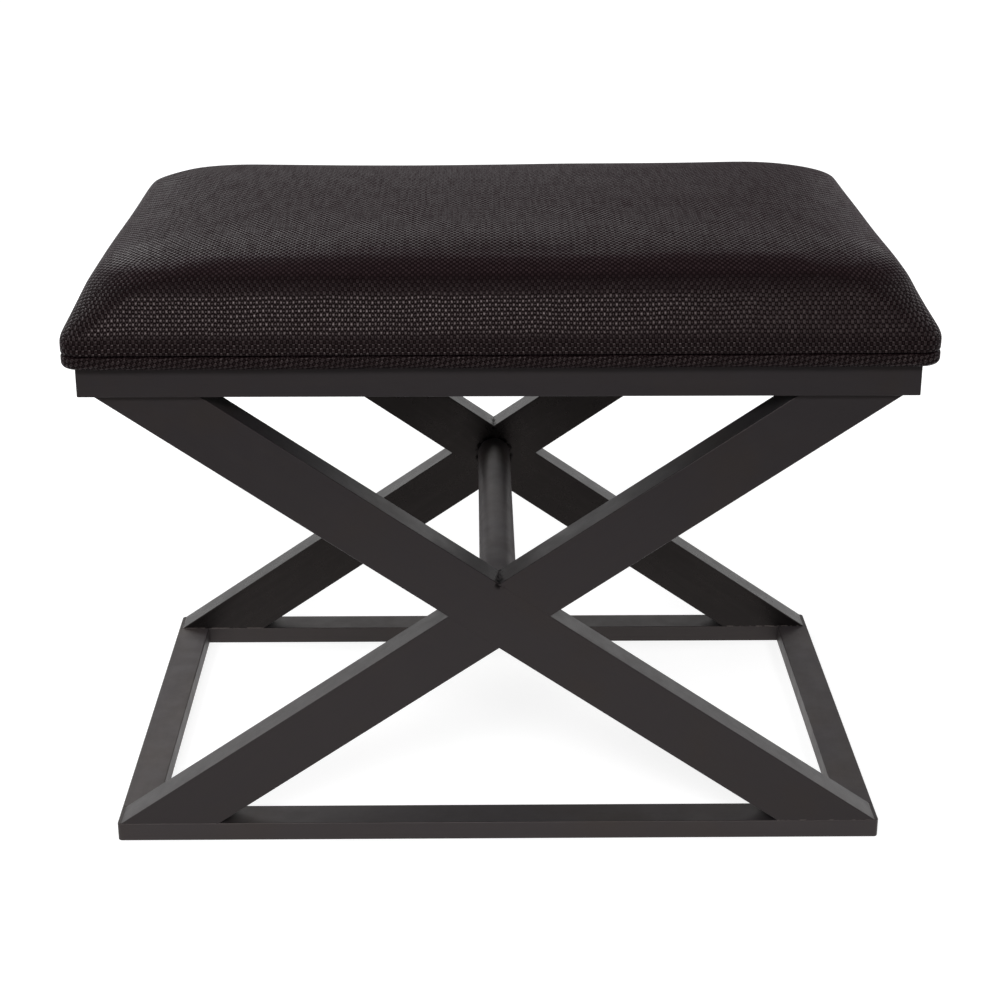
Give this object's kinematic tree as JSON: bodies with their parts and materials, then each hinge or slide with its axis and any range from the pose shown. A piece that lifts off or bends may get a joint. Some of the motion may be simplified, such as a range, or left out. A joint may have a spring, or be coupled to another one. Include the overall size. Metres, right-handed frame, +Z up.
{
  "type": "upholstered bench stool",
  "caption": "Low bench stool with a padded woven-fabric seat on crossed black timber legs, a round stretcher and a rectangular floor frame.",
  "frame": {"origin": "on the floor under the middle of the seat", "axes": "+X to the right along the seat's length, +Y to the back, +Z up; the front is at -Y"},
  "size_m": [0.602, 0.414, 0.4498],
  "materials": {
    "black_timber": "satin",
    "dowel_beech": "matte",
    "plywood": "matte",
    "screw_steel": "satin",
    "staple_steel": "satin",
    "seat_fabric": "matte",
    "piping_cord": "matte",
    "foam": "matte",
    "wadding": "matte",
    "dust_sheet": "matte"
  },
  "bodies": {
    "root": {"base_front_rail": "black_timber", "base_back_rail": "black_timber", "base_left_rail": "black_timber", "base_right_rail": "black_timber", "front_left_leg": "black_timber", "front_right_leg": "black_timber", "back_left_leg": "black_timber", "back_right_leg": "black_timber", "stretcher": "black_timber", "apron_front_rail": "black_timber", "apron_back_rail": "black_timber", "apron_left_rail": "black_timber", "apron_right_rail": "black_timber", "base_corner_dowels": "dowel_beech", "apron_corner_dowels": "dowel_beech", "leg_foot_screws": "screw_steel", "leg_top_screws": "screw_steel", "seat_screws": "screw_steel", "cover_staples": "staple_steel", "dust_cover_staples": "staple_steel", "seat_board": "plywood", "seat_foam": "foam", "seat_wadding": "wadding", "seat_cover": "seat_fabric", "piping_cover": "seat_fabric", "piping_cord": "piping_cord", "dust_cover": "dust_sheet"}
  },
  "joints": []
}
